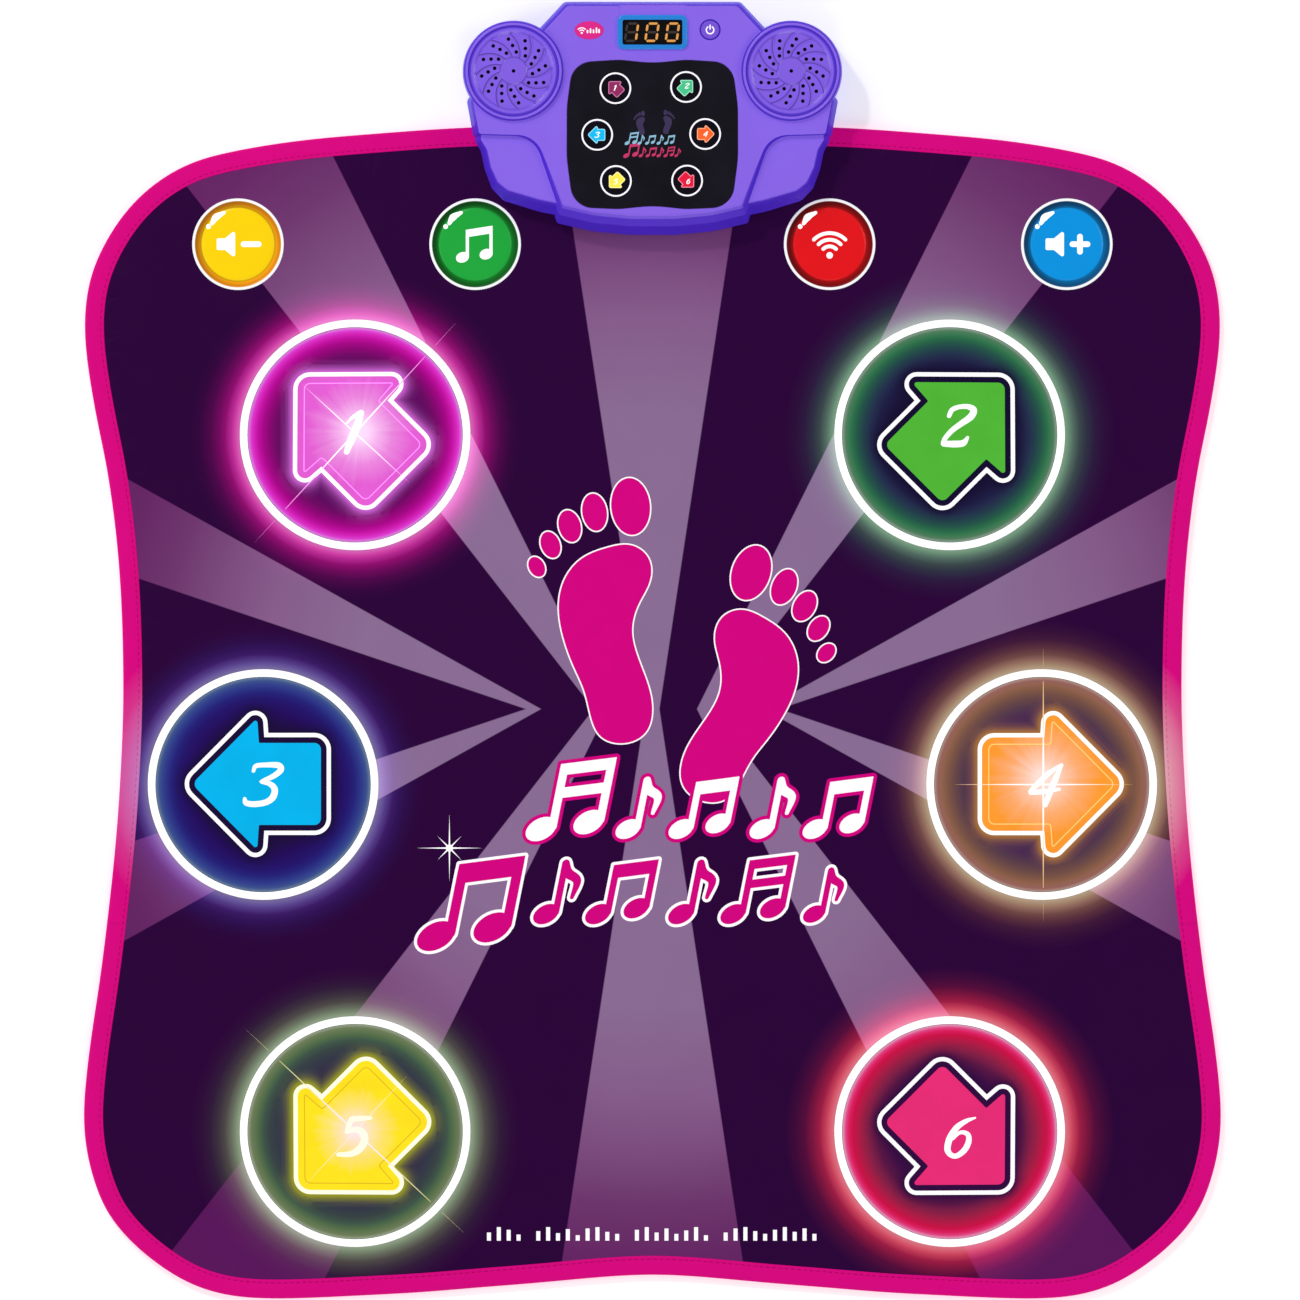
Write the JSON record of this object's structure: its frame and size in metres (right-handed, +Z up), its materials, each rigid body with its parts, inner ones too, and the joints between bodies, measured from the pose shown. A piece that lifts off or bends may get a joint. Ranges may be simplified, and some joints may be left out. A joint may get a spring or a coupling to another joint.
{
  "type": "dance rhythm mat machine",
  "caption": "Folding padded dance mat with round light-up step pads, round function buttons and a plastic console with display and speakers on its top edge.",
  "frame": {"origin": "centre of the footprint of mat and console, on the floor", "axes": "+X to the right as the player sees it, +Y from the player towards the console, +Z up"},
  "size_m": [0.8332, 0.9501, 0.04],
  "materials": {
    "printed_vinyl": "smooth printed vinyl, soft sheen",
    "contact_film": "clear polyester film with printed tracks",
    "foam": "white closed-cell foam sheet",
    "anti_slip": "fine dotted anti-slip backing",
    "binding_tape": "woven magenta binding tape, stitched",
    "light_ring": "milky light ring, lit",
    "pad_magenta": "printed vinyl pad, lit",
    "pad_green": "printed vinyl pad",
    "pad_blue": "printed vinyl pad",
    "pad_orange": "printed vinyl pad, lit",
    "pad_yellow": "printed vinyl pad, lit",
    "pad_crimson": "printed vinyl pad",
    "button_yellow": "glossy printed dome",
    "button_green": "glossy printed dome",
    "button_red": "glossy printed dome",
    "button_blue": "glossy printed dome",
    "shell_violet": "moulded violet plastic, satin gloss",
    "shell_dark_violet": "moulded violet plastic, darker base",
    "bezel_blue": "glossy blue plastic",
    "smoked_lens": "smoked clear window",
    "display_black": "black display block with amber segments",
    "power_violet": "violet button with white symbol",
    "switch_black": "black switch body",
    "badge_pink": "printed oval badge",
    "overlay_black": "black printed overlay",
    "indicator_clear": "printed indicator windows",
    "guide_white": "white light guide",
    "led_white": "LED bodies",
    "circuit_green": "green circuit board",
    "door_violet": "textured violet door",
    "cell_label": "plain AA cells",
    "spring_steel": "nickel contact plates",
    "socket_black": "black socket",
    "port_steel": "stamped steel port",
    "ribbon_white": "flat flexible cable",
    "wire_red": "insulated wire",
    "clamp_plastic": "black clamp plate",
    "screw_steel": "zinc plated screws",
    "foot_rubber": "soft rubber feet",
    "driver_steel": "black speaker frame and magnet",
    "cone_paper": "pressed paper cone"
  },
  "bodies": {
    "root": {"aa_batteries": "cell_label", "anti_slip_backing_upper": "anti_slip", "audio_jack": "socket_black", "battery_contacts": "spring_steel", "bottom_film_upper": "contact_film", "console_base_shell": "shell_dark_violet", "console_screws": "screw_steel", "console_top_shell": "shell_violet", "control_overlay": "overlay_black", "display_bezel": "bezel_blue", "display_lens": "smoked_lens", "display_module": "display_black", "edge_binding_upper": "binding_tape", "indicator_leds": "led_white", "indicator_lenses": "indicator_clear", "light_guide_frame": "guide_white", "main_circuit_board": "circuit_green", "mat_clamp_plate": "clamp_plastic", "mat_ribbon_cable": "ribbon_white", "power_switch": "switch_black", "ring_lights_upper": "light_ring", "rubber_feet": "foot_rubber", "spacer_foam_upper": "foam", "speaker_driver_left": "driver_steel", "speaker_driver_right": "driver_steel", "speaker_grille_left": "shell_violet", "speaker_grille_right": "shell_violet", "speaker_wires": "wire_red", "top_cover_upper": "printed_vinyl", "top_film_upper": "contact_film", "usb_power_port": "port_steel", "wireless_badge": "badge_pink"},
    "mat_middle": {"anti_slip_backing_middle": "anti_slip", "bottom_film_middle": "contact_film", "edge_binding_middle": "binding_tape", "ring_lights_middle": "light_ring", "spacer_foam_middle": "foam", "top_cover_middle": "printed_vinyl", "top_film_middle": "contact_film"},
    "mat_lower": {"anti_slip_backing_lower": "anti_slip", "bottom_film_lower": "contact_film", "edge_binding_lower": "binding_tape", "ring_lights_lower": "light_ring", "spacer_foam_lower": "foam", "top_cover_lower": "printed_vinyl", "top_film_lower": "contact_film"},
    "press_pad_1": {"pad_1": "pad_magenta"},
    "press_pad_2": {"pad_2": "pad_green"},
    "press_pad_3": {"pad_3": "pad_blue"},
    "press_pad_4": {"pad_4": "pad_orange"},
    "press_pad_5": {"pad_5": "pad_yellow"},
    "press_pad_6": {"pad_6": "pad_crimson"},
    "key_volume_down": {"volume_down_button": "button_yellow"},
    "key_mode": {"mode_button": "button_green"},
    "key_wireless": {"wireless_button": "button_red"},
    "key_volume_up": {"volume_up_button": "button_blue"},
    "key_power": {"power_button": "power_violet"},
    "door": {"battery_door": "door_violet"},
    "cone_left": {"speaker_cone_left": "cone_paper"},
    "cone_right": {"speaker_cone_right": "cone_paper"}
  },
  "joints": [
    {"name": "fold_upper", "type": "hinge", "parent": "root", "child": "mat_middle", "pos_m": [0, 0.0316, 0.00615], "axis": [-1, 0, 0], "range_deg": [0, 178]},
    {"name": "fold_lower", "type": "hinge", "parent": "mat_middle", "child": "mat_lower", "pos_m": [0, -0.225, -0.00015], "axis": [-1, 0, 0], "range_deg": [-178, 0]},
    {"name": "pad_1_press", "type": "slide", "parent": "root", "child": "press_pad_1", "axis": [0, 0, -1], "range_m": [0, 0.0025], "stiffness_N_per_m": 4000},
    {"name": "pad_2_press", "type": "slide", "parent": "root", "child": "press_pad_2", "axis": [0, 0, -1], "range_m": [0, 0.0025], "stiffness_N_per_m": 4000},
    {"name": "pad_3_press", "type": "slide", "parent": "mat_middle", "child": "press_pad_3", "axis": [0, 0, -1], "range_m": [0, 0.0025], "stiffness_N_per_m": 4000},
    {"name": "pad_4_press", "type": "slide", "parent": "mat_middle", "child": "press_pad_4", "axis": [0, 0, -1], "range_m": [0, 0.0025], "stiffness_N_per_m": 4000},
    {"name": "pad_5_press", "type": "slide", "parent": "mat_lower", "child": "press_pad_5", "axis": [0, 0, -1], "range_m": [0, 0.0025], "stiffness_N_per_m": 4000},
    {"name": "pad_6_press", "type": "slide", "parent": "mat_lower", "child": "press_pad_6", "axis": [0, 0, -1], "range_m": [0, 0.0025], "stiffness_N_per_m": 4000},
    {"name": "volume_down_press", "type": "slide", "parent": "root", "child": "key_volume_down", "axis": [0, 0, -1], "range_m": [0, 0.002], "stiffness_N_per_m": 2000},
    {"name": "mode_press", "type": "slide", "parent": "root", "child": "key_mode", "axis": [0, 0, -1], "range_m": [0, 0.002], "stiffness_N_per_m": 2000},
    {"name": "wireless_press", "type": "slide", "parent": "root", "child": "key_wireless", "axis": [0, 0, -1], "range_m": [0, 0.002], "stiffness_N_per_m": 2000},
    {"name": "volume_up_press", "type": "slide", "parent": "root", "child": "key_volume_up", "axis": [0, 0, -1], "range_m": [0, 0.002], "stiffness_N_per_m": 2000},
    {"name": "power_press", "type": "slide", "parent": "root", "child": "key_power", "axis": [0, 0, -1], "range_m": [0, 0.001], "stiffness_N_per_m": 1500},
    {"name": "battery_door_hinge", "type": "hinge", "parent": "root", "child": "door", "pos_m": [0, 0.3994, 0.0021], "axis": [-1, 0, 0], "range_deg": [0, 80]},
    {"name": "cone_left_travel", "type": "slide", "parent": "root", "child": "cone_left", "axis": [0, 0, 1], "range_m": [-0.0004, 0.0004], "stiffness_N_per_m": 1200},
    {"name": "cone_right_travel", "type": "slide", "parent": "root", "child": "cone_right", "axis": [0, 0, 1], "range_m": [-0.0004, 0.0004], "stiffness_N_per_m": 1200}
  ],
  "couplings": [
    {"joint": "fold_lower", "follows": "fold_upper", "ratio": -1}
  ]
}
